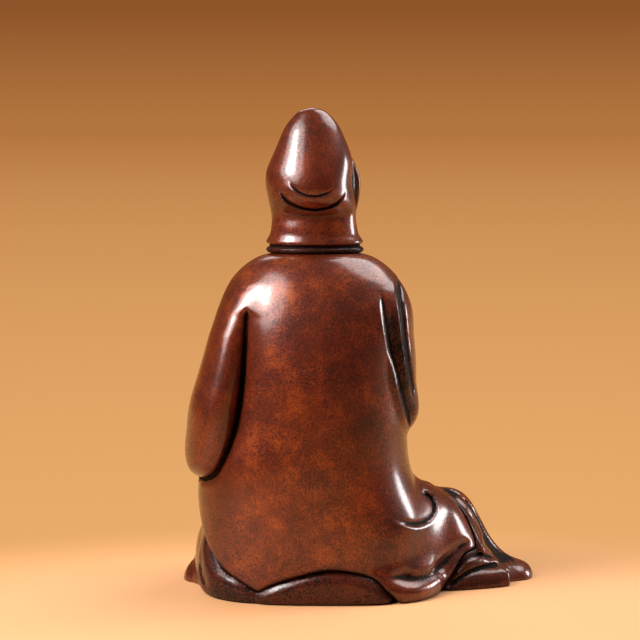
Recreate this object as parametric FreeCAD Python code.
"""Seated, hooded and robed figure in patinated bronze, put together from hollow castings.

The figure sits cross-legged, with its back to +Y and its face to -Y. Its left side is +X, and Z is up.
The origin lies on the ground, in the middle of the width and depth of the whole ornament.

How the castings go together, from the ground up:
  base_plate   closes the hollow underside, let into a rebate and held by base_pins
  lap_robe     seat, folded legs and the under-robe that trails on the ground, with a spigot on top
  cloak        back, shoulders and sleeves, set down over that spigot and held by seam_pins from inside
  left_hand, right_hand   wrist tenons in the sleeve ends, each with one of the wrist_pins
  left_foot    its toes show under the front hem, and its tenon goes into lap_robe
  head         face, hair and neck, with a round tenon in the cloak's neck socket, locked by neck_pin
  hood         the tall cowl, slipped over the head and the oval collar that covers neck_pin

The rounded forms are rows of rings with flat facets between them. Each row gives its rings as shares of
the form's own length, width and height.
"""

import FreeCAD
import Part
import math
import os

Vector = FreeCAD.Vector
ALONG_X = Vector(1, 0, 0)
ALONG_Y = Vector(0, 1, 0)
UP = Vector(0, 0, 1)

# Whole figure, in millimetres
torso_axis_x = 22.0  # the torso sits towards the figure's left
torso_axis_y = 11.5
cast_wall = 3.2
seat_clearance = 0.3  # between castings that are set on or over one another
pin_clearance = 0.05  # radial, between a pin and its hole
overrun = 2.0  # how far cutting tools run past a face
coarse_facets = 8  # facets round a small form, a limb and a large body
limb_facets = 14
body_facets = 24
curve_steps = 6  # straight stretches in the curve of a hem, an opening or a fold

# Folds cut into the cloth, as grooves of a V section
sleeve_fold_depth = 2.6  # below the surface that they run over
sleeve_fold_half_width = 2.8
lapel_depth = 1.5
lap_fold_depth = 2.4
lap_fold_half_width = 3.0

# Cloak
cloak_height = 168.0
cloak_half_width = 58.0
cloak_back_depth = 46.0
cloak_front_depth = 34.0
cloak_squareness = 2.2
# height, left, right, back, front
cloak_ring_shares = (
    (0.00, 0.96, 1.06, 0.99, 1.00),
    (0.09, 1.00, 1.04, 1.01, 1.02),
    (0.18, 1.00, 1.00, 1.02, 1.03),
    (0.26, 1.01, 0.93, 1.01, 1.03),
    (0.32, 1.02, 0.86, 1.00, 1.03),
    (0.38, 1.01, 0.81, 0.99, 1.02),
    (0.46, 0.93, 0.79, 0.97, 0.97),
    (0.57, 0.84, 0.77, 0.94, 0.88),
    (0.68, 0.80, 0.75, 0.90, 0.80),
    (0.76, 0.80, 0.77, 0.84, 0.76),
    (0.83, 0.80, 0.80, 0.76, 0.71),
    (0.88, 0.78, 0.78, 0.68, 0.67),
    (0.93, 0.70, 0.70, 0.58, 0.60),
    (0.97, 0.58, 0.58, 0.47, 0.54),
    (1.00, 0.44, 0.44, 0.37, 0.50),
)
# the crossed front edges on the chest: way to the left of the torso's axis, height
lapel_shares = (
    ((-0.22, 0.975), (-0.17, 0.89), (0.00, 0.76), (0.21, 0.665)),
    ((-0.32, 0.975), (-0.28, 0.88), (-0.10, 0.725), (0.10, 0.62)),
)
front_edge_y = -4.5  # behind this the cloak comes down over the legs, before it it ends on the lap
hem_rise_front = 44.0  # height of the cloak's lower edge on the lap
hem_rise_side = 42.0
hem_side_y = 14.5  # where the left hem turns up
hem_bend = 1.7  # how late the left hem rises on its way from the back to the side
arch_width = 73.0  # the bay in the back hem that shows the under-robe
arch_height = 18.0
arch_centre_x = -5.5  # from the torso's axis
arch_drop = 3.0  # the arch starts this far below the ground, so that its foot is cut clean

# Right thigh under the cloak, laid out towards -X from the torso's axis
thigh_reach = 86.0
thigh_height = 50.0
thigh_half_depth = 34.0
thigh_axis_y = 1.5
thigh_room_share = 2.0  # the room kept clear over the thigh, as a share of its cover's height
# reach, height, depth
thigh_ring_shares = (
    (0.10, 0.90, 1.00),
    (0.42, 0.98, 1.00),
    (0.58, 1.02, 0.96),
    (0.68, 0.98, 0.84),
    (0.76, 0.89, 0.72),
    (0.83, 0.79, 0.62),
    (0.89, 0.64, 0.50),
    (0.94, 0.46, 0.36),
    (0.98, 0.22, 0.20),
)
# the right hem leaves the ground and runs up to the knee: way from the torso's axis, height
lip_reach = 86.0
lip_height = 17.0
lip_shares = ((0.66, -0.20), (0.72, 0.12), (0.81, 0.68), (0.89, 1.00))

# Sleeves: upper arm, from the elbow up to the shoulder
sleeve_top_height = 152.0
sleeve_half_width = 16.0
sleeve_half_depth = 26.0
left_elbow_height = 57.0
left_arm_out = 48.0
left_arm_back = 8.0
right_elbow_height = 78.0
right_arm_out = 37.5
right_arm_back = 2.0
# height above the elbow, way out, half width, half depth
left_arm_ring_shares = (
    (0.00, 1.02, 0.44, 0.44),
    (0.05, 1.02, 0.76, 0.76),
    (0.13, 1.01, 0.97, 0.95),
    (0.25, 0.99, 1.03, 1.02),
    (0.40, 0.97, 0.99, 1.03),
    (0.55, 0.90, 0.94, 0.97),
    (0.70, 0.84, 0.86, 0.87),
    (0.82, 0.79, 0.78, 0.76),
    (0.92, 0.72, 0.68, 0.64),
    (1.00, 0.62, 0.54, 0.50),
)
right_arm_ring_shares = (
    (0.00, 1.02, 0.28, 0.36),
    (0.09, 1.02, 0.60, 0.64),
    (0.24, 1.01, 0.76, 0.84),
    (0.42, 1.00, 0.80, 0.92),
    (0.62, 0.98, 0.79, 0.88),
    (0.80, 0.94, 0.76, 0.78),
    (0.92, 0.88, 0.68, 0.64),
    (1.00, 0.78, 0.56, 0.52),
)

# the folds between the sleeves and the back: way out, height above the elbow
left_fold_shares = (
    ((0.69, 0.90), (0.70, 0.79), (0.73, 0.54), (0.78, 0.33), (0.88, 0.18), (1.02, 0.07), (1.15, 0.02)),
)
right_fold_shares = (
    ((0.84, 0.96), (0.91, 0.69), (1.01, 0.48), (1.13, 0.22), (1.24, 0.01)),
    ((1.07, 0.98), (1.10, 0.84), (1.155, 0.60), (1.22, 0.40), (1.28, 0.22)),
)

# Forearms, from the elbow forwards and then inwards to the cuff
cuff_half_height = 12.5
cuff_half_width = 11.0
cuff_recess = 5.0  # how deep the open end of each sleeve is
cuff_bottom_share = 0.86  # of the open end's width, at the bottom of that recess
cuff_front = 43.0  # cuffs lie this far in front of the torso's axis
left_cuff_x = 20.0  # from the torso's axis
left_cuff_height = 61.2
right_cuff_x = -20.0
right_cuff_height = 68.2
# way sideways, way forwards, way down, size
forearm_ring_shares = (
    (0.00, 0.00, 0.00, 1.05),
    (0.03, 0.24, 0.20, 1.12),
    (0.10, 0.52, 0.45, 1.14),
    (0.26, 0.80, 0.72, 1.12),
    (0.52, 0.96, 0.92, 1.06),
    (0.80, 1.00, 1.00, 1.00),
    (1.00, 1.00, 1.00, 1.02),
)

# Hands
hand_length = 29.0
hand_width = 13.0
hand_thickness = 6.4
thumb_thickness = 4.4
thumb_length = 14.0
wrist_tenon_radius = 3.2
wrist_tenon_length = 9.0
wrist_pin_radius = 0.8
# along the hand, width, thickness
hand_ring_shares = (
    (0.00, 0.62, 0.86),
    (0.22, 0.74, 0.94),
    (0.44, 0.98, 1.00),
    (0.62, 1.00, 0.90),
    (0.80, 0.86, 0.72),
    (0.93, 0.62, 0.54),
    (1.00, 0.28, 0.28),
)
thumb_ring_shares = ((0.00, 1.00), (0.45, 1.00), (0.80, 0.82), (1.00, 0.40))
thumb_lean_shares = (0.30, 0.35)  # how far it leans back and up for each step along the hand

# Neck, collar and head
head_axis_x = 23.5
head_axis_y = 8.5
neck_tenon_radius = 8.5
neck_tenon_length = 18.0
socket_wall = 4.0
collar_height = 5.0
neck_pin_radius = 1.2
head_height = 56.0  # from the collar to the top of the hair knot
head_half_width = 16.0
head_front_depth = 17.0
head_back_depth = 14.0
# height, half width, back, front
head_ring_shares = (
    (0.00, 0.64, 0.75, 0.60),
    (0.12, 0.60, 0.72, 0.54),
    (0.18, 0.58, 0.76, 0.78),
    (0.22, 0.68, 0.82, 0.93),
    (0.30, 0.84, 0.92, 0.96),
    (0.40, 0.95, 0.98, 0.97),
    (0.50, 1.00, 1.00, 0.98),
    (0.60, 1.00, 1.00, 0.97),
    (0.70, 0.92, 0.93, 0.88),
    (0.78, 0.76, 0.78, 0.72),
    (0.83, 0.52, 0.54, 0.46),
    (0.88, 0.46, 0.50, 0.42),
    (0.95, 0.40, 0.44, 0.36),
    (1.00, 0.16, 0.18, 0.14),
)
nose_height = 12.0
nose_foot_share = 0.38  # its lower end, as a share of head_height
nose_width = 6.0
nose_depth = 3.6
nose_ring_shares = ((0.00, 0.70, 0.55), (0.12, 1.00, 1.00), (0.55, 0.62, 0.60), (1.00, 0.44, 0.25))

# Hood
hood_height = 72.0  # from its hem on the cloak to its peak
hood_half_width = 24.0
hood_back_depth = 21.5
hood_front_depth = 24.0
hood_wall = 2.4
# height, half width, back, front
hood_ring_shares = (
    (0.00, 1.00, 0.80, 0.78),
    (0.05, 1.01, 0.82, 0.80),
    (0.10, 0.94, 0.73, 0.80),
    (0.17, 0.87, 0.66, 0.84),
    (0.24, 0.85, 0.65, 0.88),
    (0.32, 0.88, 0.76, 0.93),
    (0.40, 0.93, 0.90, 0.97),
    (0.48, 0.97, 0.99, 0.98),
    (0.55, 0.96, 1.01, 0.95),
    (0.64, 0.86, 0.95, 0.87),
    (0.73, 0.74, 0.83, 0.75),
    (0.81, 0.64, 0.69, 0.63),
    (0.88, 0.53, 0.55, 0.51),
    (0.94, 0.38, 0.38, 0.36),
    (0.98, 0.22, 0.22, 0.20),
    (1.00, 0.08, 0.08, 0.08),
)
face_opening_width = 30.0
face_opening_height = 52.0
face_opening_shoulder = 32.0  # height at which the opening starts to close to its point
face_opening_bend = 1.6
# crescent folds on the back of the hood: half width, height of its horns and of its inner and outer bow
fold_depth = 1.1
fold_shares = ((0.46, 0.51, 0.415, 0.38), (0.70, 0.47, 0.335, 0.29))

# Lap, folded legs and under-robe
lap_shift_right = 8.0  # its middle lies this far to the right of the torso's axis
lap_shift_forward = 8.0  # and this far in front of it, so that its back is in line with the cloak's
lap_side_spread = 9.0  # it is this much wider than the cloak on each side
lap_height = 48.0
lap_squareness = 2.4
# height, left, right, back, front
lap_ring_shares = (
    (0.00, 0.98, 0.79, 1.00, 0.98),
    (0.10, 1.00, 0.80, 1.01, 1.00),
    (0.30, 1.00, 0.80, 1.00, 1.00),
    (0.52, 0.97, 0.78, 0.96, 0.95),
    (0.72, 0.90, 0.74, 0.89, 0.86),
    (0.88, 0.78, 0.62, 0.78, 0.74),
    (1.00, 0.58, 0.44, 0.60, 0.58),
)
# swags of cloth over the knees and shins: way to the left of the lap's middle, height
lap_fold_shares = (
    ((0.88, 0.36), (0.64, 0.24), (0.36, 0.155), (-0.03, 0.105)),
    ((0.86, 0.56), (0.66, 0.43), (0.33, 0.29), (-0.03, 0.23)),
    ((0.82, 0.76), (0.62, 0.64), (0.33, 0.46), (0.06, 0.395)),
    ((-1.10, 0.34), (-0.90, 0.24), (-0.63, 0.145), (-0.33, 0.095)),
    ((-1.02, 0.57), (-0.85, 0.43), (-0.60, 0.29), (-0.33, 0.23)),
    ((-0.92, 0.79), (-0.76, 0.63), (-0.54, 0.46), (-0.33, 0.395)),
)
knee_half_depth = 36.0
knee_height = 47.0
knee_axis_y = -12.5
left_knee_reach = 62.0  # from the torso's axis
right_knee_reach = 112.0
# reach, height, half depth
left_knee_ring_shares = (
    (0.10, 1.00, 0.98),
    (0.50, 1.02, 0.98),
    (0.70, 0.96, 0.92),
    (0.84, 0.80, 0.78),
    (0.93, 0.54, 0.58),
    (0.98, 0.30, 0.36),
    (1.00, 0.12, 0.18),
)
right_knee_ring_shares = (
    (0.06, 0.96, 0.98),
    (0.46, 1.00, 1.00),
    (0.60, 0.98, 0.98),
    (0.66, 0.94, 0.93),
    (0.71, 0.84, 0.85),
    (0.76, 0.64, 0.74),
    (0.80, 0.46, 0.63),
    (0.86, 0.28, 0.50),
    (0.92, 0.19, 0.38),
    (0.97, 0.14, 0.28),
    (1.00, 0.08, 0.14),
)
shin_start_x = -44.0
shin_length = 118.0
shin_height = 27.0
shin_half_depth = 19.0
shin_axis_y = -35.5
shin_ring_shares = (
    (0.00, 0.50, 0.40),
    (0.10, 0.86, 0.86),
    (0.34, 1.00, 0.98),
    (0.50, 0.90, 1.00),
    (0.66, 1.02, 0.98),
    (0.90, 0.88, 0.86),
    (1.00, 0.50, 0.40),
)
corner_reach = 76.0  # from the lap's axis to the left corner of the trailing cloth
corner_height = 20.0
corner_half_depth = 15.0
corner_axis_y = -5.5
corner_ring_shares = (
    (0.66, 1.00, 1.10),
    (0.84, 0.80, 0.94),
    (0.92, 0.54, 0.74),
    (0.97, 0.30, 0.46),
    (1.00, 0.12, 0.22),
)

# Folds of the under-robe below the right knee, each a leaf that ends in a cut corner
leaf_length = 46.0
leaf_height = 14.5
leaf_half_thickness = 8.0
leaf_turn = 20.0  # degrees from -X towards the front
leaf_starts = ((-31.0, 23.0), (-27.0, 13.5))
leaf_height_shares = (0.70, 1.00)
leaf_ring_shares = (
    (0.00, 0.20, 0.60),
    (0.30, 0.58, 0.86),
    (0.60, 0.88, 1.00),
    (0.85, 1.00, 0.96),
    (1.00, 0.94, 0.84),
)

# Underside
spigot_top = 56.0  # height of the lap's spigot inside the cloak
cavity_height = 38.0
cavity_wall = 12.0
cavity_top_share = 0.90
rebate_margin = 8.5
base_plate_thickness = 2.5
plate_clearance = 0.15
base_boss_radius = 5.0
base_pin_radius = 1.5
base_pin_length = 12.0
base_pin_spread_shares = (0.54, 0.50)  # of the lap's half width and half depth
seam_pin_radius = 1.2
seam_pin_height = 30.0
seam_pin_bite = 1.6  # how far a seam pin goes into the cloak's wall
seam_pin_length = 12.0
seam_pin_turns = (40.0, 90.0, 128.0)  # degrees round the torso's axis from +X

# Left foot under the front hem
foot_length = 16.0
foot_width = 12.0
foot_height = 10.0
foot_x = 2.0
foot_front_y = -59.5
foot_tenon_radius = 2.6
foot_tenon_length = 10.0
foot_tenon_height = 6.0
# along the foot, width, height
foot_ring_shares = (
    (0.00, 0.60, 0.90),
    (0.35, 0.84, 1.00),
    (0.68, 1.00, 0.80),
    (0.90, 0.86, 0.56),
    (1.00, 0.50, 0.30),
)


def ring(centre, side, rise, halves, facets, squareness=2.0):
    """Corner points of a ring round centre. halves gives its reach along +side, -side, +rise and -rise."""
    plus_side, minus_side, plus_rise, minus_rise = halves
    points = []
    for step in range(facets):
        angle = 2 * math.pi * step / facets
        across, up = math.cos(angle), math.sin(angle)
        across_share = math.copysign(abs(across) ** (2 / squareness), across)
        up_share = math.copysign(abs(up) ** (2 / squareness), up)
        reach_side = plus_side if across > 0 else minus_side
        reach_rise = plus_rise if up > 0 else minus_rise
        points.append(centre + side * (across_share * reach_side) + rise * (up_share * reach_rise))
    return points


def oval(centre, side, rise, half_side, half_rise, facets):
    """Corner points of a ring with the same reach on both sides."""
    return ring(centre, side, rise, (half_side, half_side, half_rise, half_rise), facets)


def arched(foot, side, half, top, facets, drop=0.0):
    """Corner points of an arch that stands on the ground at foot, or drop below the ground."""
    points = []
    for step in range(facets + 1):
        angle = math.pi * step / facets
        points.append(foot + side * (half * math.cos(angle)) + UP * (top * math.sin(angle)))
    if drop > 0:
        points.append(foot - side * half - UP * drop)
        points.append(foot + side * half - UP * drop)
    return points


def flat(points):
    """The flat face with these corners."""
    return Part.Face(Part.makePolygon(points + [points[0]]))


def bow(middle, reach, rise):
    """Corner points of a bow from one end of its chord to the other. rise is its height over the chord."""
    points = []
    for step in range(curve_steps + 1):
        share = 1 - 2 * step / curve_steps
        points.append(middle + reach * share + rise * (1 - share**2))
    return points


def skinned(rings):
    """A solid with flat facets from each ring to the next."""
    faces = [flat(rings[0]), flat(rings[-1])]
    for low, high in zip(rings, rings[1:]):
        for index in range(len(low)):
            after = (index + 1) % len(low)
            faces.append(flat([low[index], low[after], high[after]]))
            faces.append(flat([low[index], high[after], high[index]]))
    return Part.Solid(Part.Shell(faces))


def groove(form, line, facing, depth, half_width):
    """A V-shaped cutter along a line on a form's surface. facing is the side that the line is drawn on."""
    places = []
    for point in line:
        far = facing * (4 * cloak_back_depth)
        hit = Part.makeLine(point, point + far).common(form)
        if hit.Edges:
            depths = [vertex.Point.dot(facing) for vertex in hit.Vertexes]
            places.append(point + facing * (max(depths) - point.dot(facing)))
    rings = []
    for index, place in enumerate(places):
        heading = places[min(index + 1, len(places) - 1)] - places[max(index - 1, 0)]
        side = heading.cross(facing).normalize() * half_width
        rim = place + facing * overrun
        rings.append([rim - side, place - facing * depth, rim + side])
    return skinned(rings)


def cylinder(radius, start, end):
    """A round bar from start to end."""
    along = end - start
    return Part.makeCylinder(radius, along.Length, start, along)


def block(low, high):
    """A box between two opposite corners."""
    size = high - low
    return Part.makeBox(size.x, size.y, size.z, low)


def largest(shape):
    """The biggest solid of a shape."""
    return max(shape.Solids, key=lambda solid: solid.Volume)


def torso_point(sideways, backwards, height):
    """A point given from the torso's axis."""
    return Vector(torso_axis_x + sideways, torso_axis_y + backwards, height)


def cloak_body(inset=0.0, top=cloak_height):
    """The cloak's bell from the ground to top, taken in by inset. Inner faces have fewer rings and facets."""
    coarser = 2 if inset > 0 else 1
    rings = []
    for height, left, right, back, front in cloak_ring_shares[::coarser]:
        halves = (
            left * cloak_half_width - inset,
            right * cloak_half_width - inset,
            back * cloak_back_depth - inset,
            front * cloak_front_depth - inset,
        )
        centre = torso_point(0, 0, height * cloak_height)
        rings.append(ring(centre, ALONG_X, ALONG_Y, halves, body_facets // coarser, cloak_squareness))
    body = skinned(rings)
    if top < cloak_height:
        reach = 2 * cloak_half_width
        low, high = torso_point(-reach, -reach, top), torso_point(reach, reach, cloak_height + overrun)
        body = body.cut(block(low, high))
    return body


def thigh_cover(inset=0.0, drop=0.0, growth=1.0, front_y=front_edge_y):
    """The cloak's cloth over the right thigh, from front_y backwards. growth makes it taller."""
    rings = []
    for reach, height, depth in thigh_ring_shares:
        foot = Vector(torso_axis_x - reach * thigh_reach, thigh_axis_y, 0)
        half = depth * thigh_half_depth - inset
        rings.append(arched(foot, ALONG_Y, half, growth * height * thigh_height - inset, limb_facets, drop))
    low = Vector(torso_axis_x - right_knee_reach, front_edge_y - 2 * lap_half_depth(), -2 * overrun)
    return skinned(rings).cut(block(low, Vector(torso_axis_x, front_y, 3 * thigh_height)))


def front_hem(gap=0.0):
    """All that lies under the cloak's front hem, raised by gap."""
    reach = 2 * cloak_half_width
    low = Vector(torso_axis_x - reach, torso_axis_y - reach, -overrun)
    return block(low, Vector(torso_axis_x + reach, front_edge_y, hem_rise_front + gap))


def left_hem(gap=0.0):
    """All that lies under the cloak's left hem, raised by gap. It is drawn from the side."""
    back_y = torso_axis_y + cloak_back_depth
    corners = [
        Vector(torso_axis_x, back_y, -overrun),
        Vector(torso_axis_x, front_edge_y - overrun, -overrun),
        Vector(torso_axis_x, front_edge_y - overrun, hem_rise_front + gap),
    ]
    for step in range(curve_steps + 1):
        share = 1 - step / curve_steps
        height = hem_rise_side * share**hem_bend + gap
        corners.append(Vector(torso_axis_x, back_y + (hem_side_y - back_y) * share, height))
    return flat(corners).extrude(ALONG_X * (2 * cloak_half_width))


def back_arch(gap=0.0):
    """The arched bay in the middle of the back hem, grown by gap."""
    middle = Vector(torso_axis_x + arch_centre_x, torso_axis_y, -arch_drop)
    rise = UP * (arch_height + arch_drop + gap)
    return flat(bow(middle, ALONG_X * (arch_width / 2 + gap), rise)).extrude(ALONG_Y * (2 * cloak_back_depth))


def right_lip(gap=0.0):
    """All that lies under the cloak's right hem, where it runs up from the ground to the knee."""
    corners = []
    for reach, rise in lip_shares:
        corners.append(Vector(torso_axis_x - reach * lip_reach, front_edge_y, rise * lip_height + gap))
    far_x = torso_axis_x - right_knee_reach
    corners.append(Vector(far_x, front_edge_y, lip_height + gap))
    corners.append(Vector(far_x, front_edge_y, -arch_drop - overrun))
    corners.append(Vector(corners[0].x, front_edge_y, -arch_drop - overrun))
    return flat(corners).extrude(ALONG_Y * (2 * cloak_back_depth))


def cloak_room():
    """The room that the cloak needs: its own form and all that lies above and outside it at the back."""
    gap = seat_clearance
    body = cloak_body(-gap).cut(front_hem(-gap))
    cover = thigh_cover(-gap, overrun, thigh_room_share, front_edge_y - gap)
    outside = block(
        Vector(torso_axis_x - lip_reach * lip_shares[1][0], front_edge_y - gap, -overrun),
        torso_point(2 * cloak_half_width, 2 * cloak_back_depth, 2 * thigh_height),
    )
    room = body.fuse([cover, outside])
    for cutter in (left_hem(-gap), back_arch(-gap), right_lip(-gap)):
        room = room.cut(cutter)
    return room


def upper_arm(shares, elbow_height, out, back):
    """A sleeve from the elbow up into the shoulder."""
    rings = []
    for height, way_out, width, depth in shares:
        rise = elbow_height + height * (sleeve_top_height - elbow_height)
        centre = torso_point(way_out * out, back, rise)
        half_width, half_depth = width * sleeve_half_width, depth * sleeve_half_depth
        rings.append(oval(centre, ALONG_X, ALONG_Y, half_width, half_depth, limb_facets))
    return skinned(rings)


def left_cuff():
    """The middle of the left sleeve's open end."""
    return torso_point(left_cuff_x, -cuff_front, left_cuff_height)


def right_cuff():
    """The middle of the right sleeve's open end."""
    return torso_point(right_cuff_x, -cuff_front, right_cuff_height)


def forearm(elbow, cuff):
    """A sleeve from the elbow forwards and inwards to its open end."""
    way = cuff - elbow
    places = []
    for sideways, forwards, downwards, size in forearm_ring_shares:
        places.append(elbow + Vector(way.x * sideways, way.y * forwards, way.z * downwards))
    rings = []
    for index, shares in enumerate(forearm_ring_shares):
        heading = places[min(index + 1, len(places) - 1)] - places[max(index - 1, 0)]
        if index == len(places) - 1:
            heading = ALONG_X * way.x
        heading.z = 0
        across = UP.cross(heading.normalize())
        half_width, half_height = cuff_half_width * shares[3], cuff_half_height * shares[3]
        rings.append(oval(places[index], across, UP, half_width, half_height, limb_facets))
    return skinned(rings)


def sleeve_mouth(cuff, side):
    """The open end of a sleeve, as a hollow. side is 1 on the left and -1 on the right."""
    rings = []
    for depth, share in ((-overrun, 1), (0, 1), (cuff_recess, cuff_bottom_share)):
        centre = cuff + ALONG_X * (side * depth)
        half_width = (cuff_half_width - cast_wall / 2) * share
        half_height = (cuff_half_height - cast_wall / 2) * share
        rings.append(oval(centre, ALONG_Y, UP, half_width, half_height, limb_facets))
    return skinned(rings)


def sleeve_folds(form):
    """The folds between the sleeves and the back, as cutters along a form's surface."""
    sides = (
        (left_fold_shares, left_arm_out, left_elbow_height),
        (right_fold_shares, -right_arm_out, right_elbow_height),
    )
    cutters = []
    for lines, out, elbow_height in sides:
        for shares in lines:
            rise = sleeve_top_height - elbow_height
            line = [torso_point(way * out, 0, elbow_height + height * rise) for way, height in shares]
            cutters.append(groove(form, line, ALONG_Y, sleeve_fold_depth, sleeve_fold_half_width))
    return cutters


def lapels(form):
    """The crossed front edges on the chest, as cutters along a form's surface."""
    cutters = []
    for shares in lapel_shares:
        line = [torso_point(way * cloak_half_width, 0, height * cloak_height) for way, height in shares]
        cutters.append(groove(form, line, -ALONG_Y, lapel_depth, lapel_depth))
    return cutters


def wrist_bar(cuff, side, radius, past=0.0):
    """The wrist tenon's bar, from the bottom of the sleeve's open end into the sleeve."""
    start = cuff + ALONG_X * (side * (cuff_recess - overrun))
    return cylinder(radius, start, start + ALONG_X * (side * (overrun + wrist_tenon_length + past)))


def wrist_pin_bar(cuff, side, radius, past=0.0):
    """The small pin that goes up through a sleeve and its wrist tenon."""
    middle = cuff + ALONG_X * (side * (cuff_recess + wrist_tenon_length / 2))
    low = middle - UP * (2 * wrist_tenon_radius + past)
    return cylinder(radius, low, middle + UP * (wrist_tenon_radius + wrist_pin_radius))


def collar():
    """The oval step on the cloak that centres the hood, a clearance inside the hood's hem."""
    share = hood_ring_shares[0]
    inset = hood_wall + seat_clearance
    halves = (
        share[1] * hood_half_width - inset,
        share[1] * hood_half_width - inset,
        share[2] * hood_back_depth - inset,
        share[3] * hood_front_depth - inset,
    )
    rings = []
    for height in (cloak_height - cast_wall, cloak_height + collar_height):
        rings.append(ring(Vector(head_axis_x, head_axis_y, height), ALONG_X, ALONG_Y, halves, limb_facets))
    return skinned(rings)


def neck_bar(radius, low, high):
    """A round bar on the head's axis between two heights."""
    return cylinder(radius, Vector(head_axis_x, head_axis_y, low), Vector(head_axis_x, head_axis_y, high))


def neck_pin_bar(radius, past=0.0):
    """The cross pin through the collar, from front to back. past lengthens it at both ends."""
    share = hood_ring_shares[0]
    inset = hood_wall + 2 * seat_clearance
    height = cloak_height + collar_height / 2
    back = head_axis_y + share[2] * hood_back_depth - inset + past
    front = head_axis_y - share[3] * hood_front_depth + inset - past
    return cylinder(radius, Vector(head_axis_x, back, height), Vector(head_axis_x, front, height))


def seam_pin_bar(turn, radius, deeper=0.0, shorter=0.0):
    """A seam pin, from inside the spigot into the cloak's wall at this turn round the torso's axis."""
    angle = math.radians(turn)
    away = Vector(math.cos(angle), math.sin(angle), 0)
    axis = torso_point(0, 0, seam_pin_height)
    ray = Part.makeLine(axis, axis + away * (2 * cloak_half_width))
    wall_inside = ray.common(cloak_body(cast_wall)).Length
    tip = axis + away * (wall_inside + seam_pin_bite + deeper)
    return cylinder(radius, tip - away * (seam_pin_length + deeper - shorter), tip)


def make_cloak():
    """Back, shoulders, sleeves and the cover of the right thigh, hollow and open below."""
    arms = [
        upper_arm(left_arm_ring_shares, left_elbow_height, left_arm_out, left_arm_back),
        upper_arm(right_arm_ring_shares, right_elbow_height, -right_arm_out, right_arm_back),
    ]
    left_elbow = torso_point(left_arm_out, left_arm_back, left_elbow_height + cuff_half_height)
    right_elbow = torso_point(-right_arm_out, right_arm_back, right_elbow_height + cuff_half_height)
    arms += [forearm(left_elbow, left_cuff()), forearm(right_elbow, right_cuff())]
    outer = cloak_body().cut(front_hem()).fuse(thigh_cover()).fuse(arms)
    under_thigh = thigh_cover(cast_wall, overrun, front_y=front_edge_y - overrun)
    hollow = cloak_body(cast_wall, cloak_height - cast_wall).fuse(under_thigh)
    shell = outer.cut(hollow)
    for cutter in sleeve_folds(outer) + lapels(outer) + [left_hem(), back_arch(), right_lip()]:
        shell = shell.cut(cutter)
    socket_foot = cloak_height - neck_tenon_length
    collar_top = cloak_height + collar_height
    socket = neck_bar(neck_tenon_radius + socket_wall, socket_foot - socket_wall, cloak_height)
    shell = shell.fuse([socket, collar()])
    shell = shell.cut(neck_bar(neck_tenon_radius + pin_clearance, socket_foot, collar_top + overrun))
    shell = shell.cut(neck_pin_bar(neck_pin_radius + pin_clearance, overrun))
    for cuff, side in ((left_cuff(), 1), (right_cuff(), -1)):
        shell = shell.cut(sleeve_mouth(cuff, side))
        shell = shell.cut(wrist_bar(cuff, side, wrist_tenon_radius + pin_clearance, seat_clearance))
        shell = shell.cut(wrist_pin_bar(cuff, side, wrist_pin_radius + pin_clearance, cuff_half_height))
    for turn in seam_pin_turns:
        shell = shell.cut(seam_pin_bar(turn, seam_pin_radius + pin_clearance, pin_clearance))
    return largest(shell)


def lap_half_width():
    """The lap's reach to each side of its own middle."""
    return cloak_half_width + lap_side_spread


def lap_half_depth():
    """The lap's reach to the back and to the front of its own middle."""
    return cloak_back_depth + lap_shift_forward


def lap_point(height):
    """The lap's middle at this height."""
    return torso_point(-lap_shift_right, -lap_shift_forward, height)


def lap_ring(height, shares, inset=0.0):
    """A ring of the lap at this height, taken in by inset."""
    left, right, back, front = shares
    halves = (
        left * lap_half_width() - inset,
        right * lap_half_width() - inset,
        back * lap_half_depth() - inset,
        front * lap_half_depth() - inset,
    )
    return ring(lap_point(height), ALONG_X, ALONG_Y, halves, body_facets, lap_squareness)


def lap_mass():
    """The seat and the cloth round it on the ground."""
    return skinned([lap_ring(shares[0] * lap_height, shares[1:]) for shares in lap_ring_shares])


def lying_form(shares, start, along, length, height, half_depth, facets=limb_facets):
    """A long form that lies on the ground, from start along a direction."""
    across = UP.cross(along)
    rings = []
    for way, tall, deep in shares:
        rings.append(arched(start + along * (way * length), across, deep * half_depth, tall * height, facets))
    return skinned(rings)


def folded_legs():
    """Both knees with the cloth over them, and the crossed shins in front."""
    hips = Vector(torso_axis_x, knee_axis_y, 0)
    shin_start = Vector(shin_start_x, shin_axis_y, 0)
    return [
        lying_form(left_knee_ring_shares, hips, ALONG_X, left_knee_reach, knee_height, knee_half_depth),
        lying_form(right_knee_ring_shares, hips, -ALONG_X, right_knee_reach, knee_height, knee_half_depth),
        lying_form(shin_ring_shares, shin_start, ALONG_X, shin_length, shin_height, shin_half_depth),
    ]


def trailing_cloth():
    """The corner of cloth on the left, and the leaf-shaped folds behind the right knee."""
    corner_start = Vector(lap_point(0).x, corner_axis_y, 0)
    reach, height, half_depth = corner_reach, corner_height, corner_half_depth
    forms = [lying_form(corner_ring_shares, corner_start, ALONG_X, reach, height, half_depth, coarse_facets)]
    turn = math.radians(180 + leaf_turn)
    along = Vector(math.cos(turn), math.sin(turn), 0)
    for (start_x, start_y), share in zip(leaf_starts, leaf_height_shares):
        start = Vector(start_x, start_y, 0)
        sizes = (leaf_length, leaf_height * share, leaf_half_thickness)
        forms.append(lying_form(leaf_ring_shares, start, along, *sizes, coarse_facets))
    return forms


def lap_folds(form):
    """The swags over the knees and shins, as cutters along a form's surface."""
    cutters = []
    for shares in lap_fold_shares:
        line = [lap_point(height * lap_height) + ALONG_X * (way * lap_half_width()) for way, height in shares]
        cutters.append(groove(form, line, -ALONG_Y, lap_fold_depth, lap_fold_half_width))
    return cutters


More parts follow.
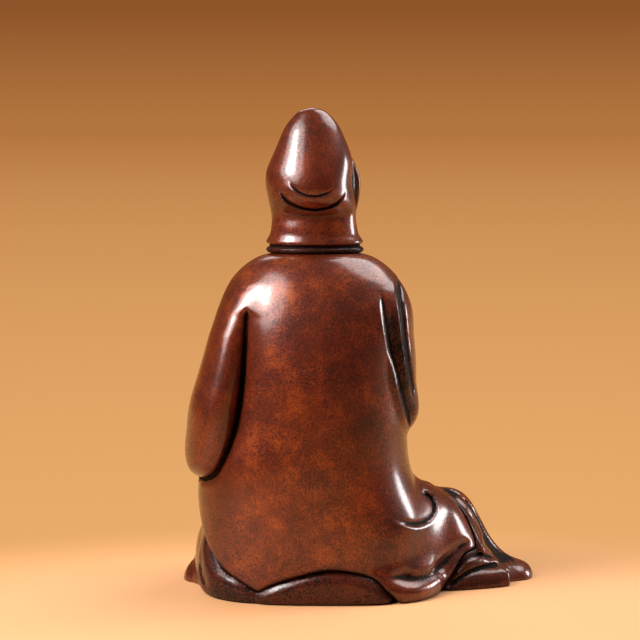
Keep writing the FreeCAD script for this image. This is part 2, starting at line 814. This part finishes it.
def base_pin_places():
    """Where the base pins stand."""
    share_x, share_y = base_pin_spread_shares
    places = []
    for side in (-share_x, share_x):
        for end in (-share_y, share_y):
            places.append(lap_point(0) + Vector(side * lap_half_width(), end * lap_half_depth(), 0))
    return places


def foot_outline(height, inset):
    """A ring of the lap's foot at this height, taken in by inset."""
    return lap_ring(height, lap_ring_shares[0][1:], inset)


def lap_cavity():
    """The hollow under the lap, round the bosses for the base pins."""
    top_inset = cavity_wall + (1 - cavity_top_share) * lap_half_width()
    low, middle = foot_outline(-overrun, cavity_wall), foot_outline(cavity_height / 2, cavity_wall)
    cavity = skinned([low, middle, foot_outline(cavity_height, top_inset)])
    for place in base_pin_places():
        low, high = place - UP * overrun, place + UP * (cavity_height + overrun)
        cavity = cavity.cut(cylinder(base_boss_radius, low, high))
    return cavity


def base_plate_slab(inset, low=0.0):
    """The base plate's outline as a slab, taken in by inset."""
    face = flat(foot_outline(low, rebate_margin + inset))
    return face.extrude(UP * (base_plate_thickness - low))


def make_lap_robe():
    """Seat, legs and under-robe, hollow below, with the spigot that carries the cloak."""
    mass = lap_mass().fuse(folded_legs() + trailing_cloth())
    folds = lap_folds(mass)
    mass = mass.cut(cloak_room())
    for fold in folds:
        mass = mass.cut(fold)
    inset = cast_wall + seat_clearance
    mass = mass.fuse([cloak_body(inset, spigot_top), thigh_cover(inset, front_y=front_edge_y - overrun)])
    mass = mass.cut(lap_cavity()).cut(base_plate_slab(-plate_clearance, -overrun))
    for place in base_pin_places():
        top = place + UP * (base_pin_length + seat_clearance)
        mass = mass.cut(cylinder(base_pin_radius + pin_clearance, place - UP * overrun, top))
    for turn in seam_pin_turns:
        mass = mass.cut(seam_pin_bar(turn, seam_pin_radius + pin_clearance, overrun, -overrun))
    mass = mass.cut(foot_tenon(foot_tenon_radius + pin_clearance, seat_clearance))
    mass = mass.cut(foot_form(seat_clearance))
    return largest(mass)


def make_base_plate():
    """The plate that closes the underside, drilled for its pins."""
    plate = base_plate_slab(0)
    for place in base_pin_places():
        low, high = place - UP * overrun, place + UP * (2 * base_plate_thickness)
        plate = plate.cut(cylinder(base_pin_radius + pin_clearance, low, high))
    return plate


def make_base_pins():
    """Pins through the base plate into the lap's bosses, filed flush below."""
    return [cylinder(base_pin_radius, place, place + UP * base_pin_length) for place in base_pin_places()]


def make_seam_pins():
    """Pins driven from inside through the spigot into the cloak's wall."""
    return [seam_pin_bar(turn, seam_pin_radius) for turn in seam_pin_turns]


def nose():
    """The nose, rising from the face between the brows and the lip."""
    root = Vector(head_axis_x, head_axis_y - head_front_depth + nose_depth / 2, cloak_height + collar_height)
    rings = []
    for height, width, depth in nose_ring_shares:
        centre = root + UP * (nose_foot_share * head_height + height * nose_height)
        half = width * nose_width / 2
        halves = (half, half, nose_depth / 2, depth * nose_depth)
        rings.append(ring(centre, ALONG_X, ALONG_Y, halves, coarse_facets))
    return skinned(rings)


def make_head():
    """Face, hair knot and neck, with the round tenon below."""
    base = cloak_height + collar_height
    rings = []
    for height, width, back, front in head_ring_shares:
        rise = seat_clearance + height * (head_height - seat_clearance)
        centre = Vector(head_axis_x, head_axis_y, base + rise)
        half_width = width * head_half_width
        halves = (half_width, half_width, back * head_back_depth, front * head_front_depth)
        rings.append(ring(centre, ALONG_X, ALONG_Y, halves, limb_facets))
    tenon = neck_bar(neck_tenon_radius, cloak_height - neck_tenon_length + seat_clearance, base + overrun)
    head = skinned(rings).fuse([tenon, nose()])
    return largest(head.cut(neck_pin_bar(neck_pin_radius + pin_clearance, overrun)))


def make_neck_pin():
    """The cross pin, hidden by the hood."""
    return neck_pin_bar(neck_pin_radius)


def hood_form(inset=0.0):
    """The cowl's form, taken in by inset. Its inside follows every second ring."""
    rings = []
    for height, width, back, front in hood_ring_shares[:: 2 if inset > fold_depth else 1]:
        if width * hood_half_width < 2 * inset:
            continue
        half_width = width * hood_half_width - inset
        centre = Vector(head_axis_x, head_axis_y, cloak_height + height * (hood_height - inset))
        halves = (half_width, half_width, back * hood_back_depth - inset, front * hood_front_depth - inset)
        rings.append(ring(centre, ALONG_X, ALONG_Y, halves, limb_facets))
    return skinned(rings)


def face_opening():
    """The pointed opening in the front of the hood, from its hem up."""
    foot = Vector(head_axis_x, head_axis_y - hood_front_depth - overrun, cloak_height)
    half = ALONG_X * (face_opening_width / 2)
    corners = [foot - half - UP * overrun, foot + half - UP * overrun]
    for step in range(-curve_steps, curve_steps + 1):
        share = 1 - abs(step) / curve_steps
        rise = face_opening_shoulder + share * (face_opening_height - face_opening_shoulder)
        side = -math.copysign(1 - share**face_opening_bend, step)
        corners.append(foot + half * side + UP * rise)
    return flat(corners).extrude(ALONG_Y * (hood_front_depth + overrun))


def hood_folds():
    """The crescent folds on the back of the hood, as grooves of an even depth."""
    skin = hood_form().cut(hood_form(fold_depth))
    grooves = []
    for half_share, horn_share, inner_share, outer_share in fold_shares:
        middle = Vector(head_axis_x, head_axis_y, cloak_height + horn_share * hood_height)
        reach = ALONG_X * (half_share * hood_half_width)
        inner = bow(middle, reach, UP * ((inner_share - horn_share) * hood_height))
        outer = bow(middle, reach, UP * ((outer_share - horn_share) * hood_height))
        crescent = flat(inner + outer[-2:0:-1])
        grooves.append(crescent.extrude(ALONG_Y * (2 * hood_back_depth)).common(skin))
    return grooves


def make_hood():
    """The tall cowl: a thin shell with a pointed opening for the face and two folds behind."""
    shell = hood_form().cut(hood_form(hood_wall)).cut(face_opening())
    for groove in hood_folds():
        shell = shell.cut(groove)
    return largest(shell)


def make_hand(cuff, side):
    """A hand with its thumb and wrist tenon. It points across the lap, away from its own sleeve."""
    along = ALONG_X * -side
    wrist = cuff - along * (cuff_recess - seat_clearance)
    rings = []
    for way, width, thickness in hand_ring_shares:
        centre = wrist + along * (way * hand_length)
        half_width, half_thickness = width * hand_width / 2, thickness * hand_thickness / 2
        rings.append(oval(centre, ALONG_Y, UP, half_width, half_thickness, coarse_facets))
    thumb_root = wrist + along * (hand_length / 4) + ALONG_Y * (hand_width / 4)
    lean_back, lean_up = thumb_lean_shares
    thumb_way = (along + ALONG_Y * lean_back + UP * lean_up).normalize()
    thumb_across = UP.cross(thumb_way).normalize()
    thumb = []
    for way, size in thumb_ring_shares:
        half = size * thumb_thickness / 2
        centre = thumb_root + thumb_way * (way * thumb_length)
        thumb.append(oval(centre, thumb_across, thumb_way.cross(thumb_across), half, half, coarse_facets))
    tenon = cylinder(wrist_tenon_radius, wrist + along * overrun, wrist - along * wrist_tenon_length)
    hand = skinned(rings).fuse([skinned(thumb), tenon])
    return largest(hand.cut(wrist_pin_bar(cuff, side, wrist_pin_radius + pin_clearance, overrun)))


def make_wrist_pins():
    """One small pin through each wrist tenon."""
    sides = ((left_cuff(), 1), (right_cuff(), -1))
    return [wrist_pin_bar(cuff, side, wrist_pin_radius) for cuff, side in sides]


def foot_form(grow=0.0):
    """The foot's form along -Y, grown by a clearance."""
    rings = []
    for way, width, height in foot_ring_shares:
        centre = Vector(foot_x, foot_front_y + foot_length - way * (foot_length + grow), 0)
        half_width = width * foot_width / 2 + grow
        rings.append(arched(centre, ALONG_X, half_width, height * foot_height + grow, coarse_facets, grow))
    return skinned(rings)


def foot_tenon(radius, past=0.0):
    """The foot's tenon, back into the lap."""
    start = Vector(foot_x, foot_front_y + foot_length - overrun, foot_tenon_height)
    return cylinder(radius, start, start + ALONG_Y * (overrun + foot_tenon_length + past))


def make_left_foot():
    """The toes that show under the front hem."""
    return largest(foot_form().fuse(foot_tenon(foot_tenon_radius)))


def write(name, shapes):
    """Writes one node's solids as a STEP file."""
    solids = shapes if isinstance(shapes, list) else [shapes]
    shape = solids[0] if len(solids) == 1 else Part.makeCompound(solids)
    shape.exportStep(os.path.join("parts", name + ".step"))
    print(name, "solids", len(shape.Solids), "valid", shape.isValid(), "cm3", round(shape.Volume / 1000, 2))


def main():
    """Builds and writes every node."""
    os.makedirs("parts", exist_ok=True)
    write("base_plate", make_base_plate())
    write("lap_robe", make_lap_robe())
    write("cloak", make_cloak())
    write("head", make_head())
    write("hood", make_hood())
    write("left_hand", make_hand(left_cuff(), 1))
    write("right_hand", make_hand(right_cuff(), -1))
    write("left_foot", make_left_foot())
    write("neck_pin", make_neck_pin())
    write("wrist_pins", make_wrist_pins())
    write("seam_pins", make_seam_pins())
    write("base_pins", make_base_pins())


main()
